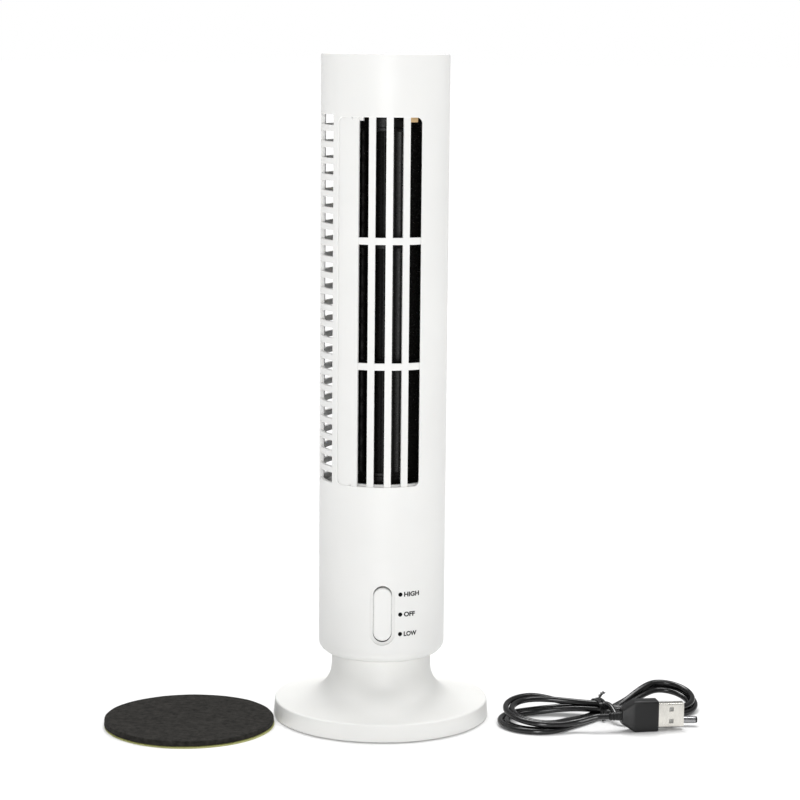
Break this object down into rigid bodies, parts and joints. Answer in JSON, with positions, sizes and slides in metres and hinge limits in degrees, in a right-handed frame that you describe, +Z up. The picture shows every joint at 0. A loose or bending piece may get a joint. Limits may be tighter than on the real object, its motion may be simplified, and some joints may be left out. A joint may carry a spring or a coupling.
{
  "type": "tower fan",
  "caption": "Small upright USB fan: a slotted round tower with a cross-flow wheel inside, a rocker switch, a trumpet base, a tied lead and a foam foot pad.",
  "frame": {"origin": "middle of the base plate's underside, on the floor", "axes": "+Z up along the tower, -Y towards the front with the outlet and switch, +X to the viewer's right"},
  "size_m": [0.2975, 0.117, 0.33],
  "materials": {
    "white_plastic": "satin, fine grain",
    "inner_plastic": "plain moulded",
    "wheel_plastic": "smooth",
    "screw_steel": "bright",
    "motor_steel": "drawn, nickel plated",
    "black_plastic": "plain moulded",
    "terminal_tin": "tinned",
    "bush_bronze": "sintered",
    "soft_rubber": "matt",
    "seal_foam": "open-cell foam",
    "wire_red": "soft vinyl",
    "wire_yellow": "soft vinyl",
    "wire_black": "soft vinyl",
    "resistor_enamel": "enamel",
    "cord_vinyl": "soft vinyl",
    "plug_nickel": "nickel plated",
    "tongue_plastic": "plain moulded",
    "pad_foam": "closed-cell foam",
    "liner_paper": "waxed release paper"
  },
  "bodies": {
    "tower": {"base_plate": "inner_plastic", "base_screw_1": "screw_steel", "base_screw_2": "screw_steel", "base_screw_3": "screw_steel", "base_screw_4": "screw_steel", "base_shell": "white_plastic", "bearing_bracket": "inner_plastic", "bearing_bush": "bush_bronze", "bearing_rubber": "soft_rubber", "dc_jack": "black_plastic", "foam_seal": "seal_foam", "front_shell": "white_plastic", "jack_pin": "plug_nickel", "motor_can": "motor_steel", "motor_end_bell": "black_plastic", "motor_mount": "inner_plastic", "motor_screw_1": "screw_steel", "motor_screw_2": "screw_steel", "motor_terminal_minus": "terminal_tin", "motor_terminal_plus": "terminal_tin", "neck_screw_1": "screw_steel", "neck_screw_2": "screw_steel", "neck_screw_3": "screw_steel", "neck_screw_4": "screw_steel", "outlet_grille": "white_plastic", "rear_shell": "white_plastic", "rocker_pivot_pin": "screw_steel", "shell_screw_1": "screw_steel", "shell_screw_2": "screw_steel", "shell_screw_3": "screw_steel", "shell_screw_4": "screw_steel", "speed_resistor": "resistor_enamel", "switch_housing": "black_plastic", "switch_terminal_common": "terminal_tin", "switch_terminal_high": "terminal_tin", "switch_terminal_low": "terminal_tin", "top_cap": "white_plastic", "wire_high": "wire_red", "wire_low": "wire_yellow", "wire_resistor": "wire_yellow", "wire_return": "wire_black", "wire_supply": "wire_red"},
    "blower": {"blower_wheel": "wheel_plastic", "wheel_axle": "screw_steel", "wheel_coupler": "soft_rubber", "motor_shaft": "screw_steel"},
    "rocker": {"speed_rocker": "white_plastic"},
    "lead": {"lead_hank": "cord_vinyl", "lead_tail_usb": "cord_vinyl", "lead_tail_dc": "cord_vinyl", "twist_tie": "cord_vinyl", "usb_plug_body": "cord_vinyl", "usb_plug_shell": "plug_nickel", "usb_tongue": "tongue_plastic", "dc_plug_body": "cord_vinyl", "dc_plug_barrel": "plug_nickel", "dc_plug_tip": "cord_vinyl"},
    "pad": {"foam_pad": "pad_foam", "pad_liner": "liner_paper"}
  },
  "joints": [
    {"name": "wheel_spin", "type": "hinge", "parent": "tower", "child": "blower", "pos_m": [0, 0, 0.2], "axis": [0, 0, 1], "continuous": true},
    {"name": "rocker_tilt", "type": "hinge", "parent": "tower", "child": "rocker", "pos_m": [0, -0.025, 0.0584], "axis": [1, 0, 0], "range_deg": [-6, 6]},
    {"name": "lead_lift", "type": "slide", "parent": "tower", "child": "lead", "axis": [0, 0, 1], "range_m": [0, 0.06]},
    {"name": "pad_lift", "type": "slide", "parent": "tower", "child": "pad", "axis": [0, 0, 1], "range_m": [0, 0.06]}
  ]
}
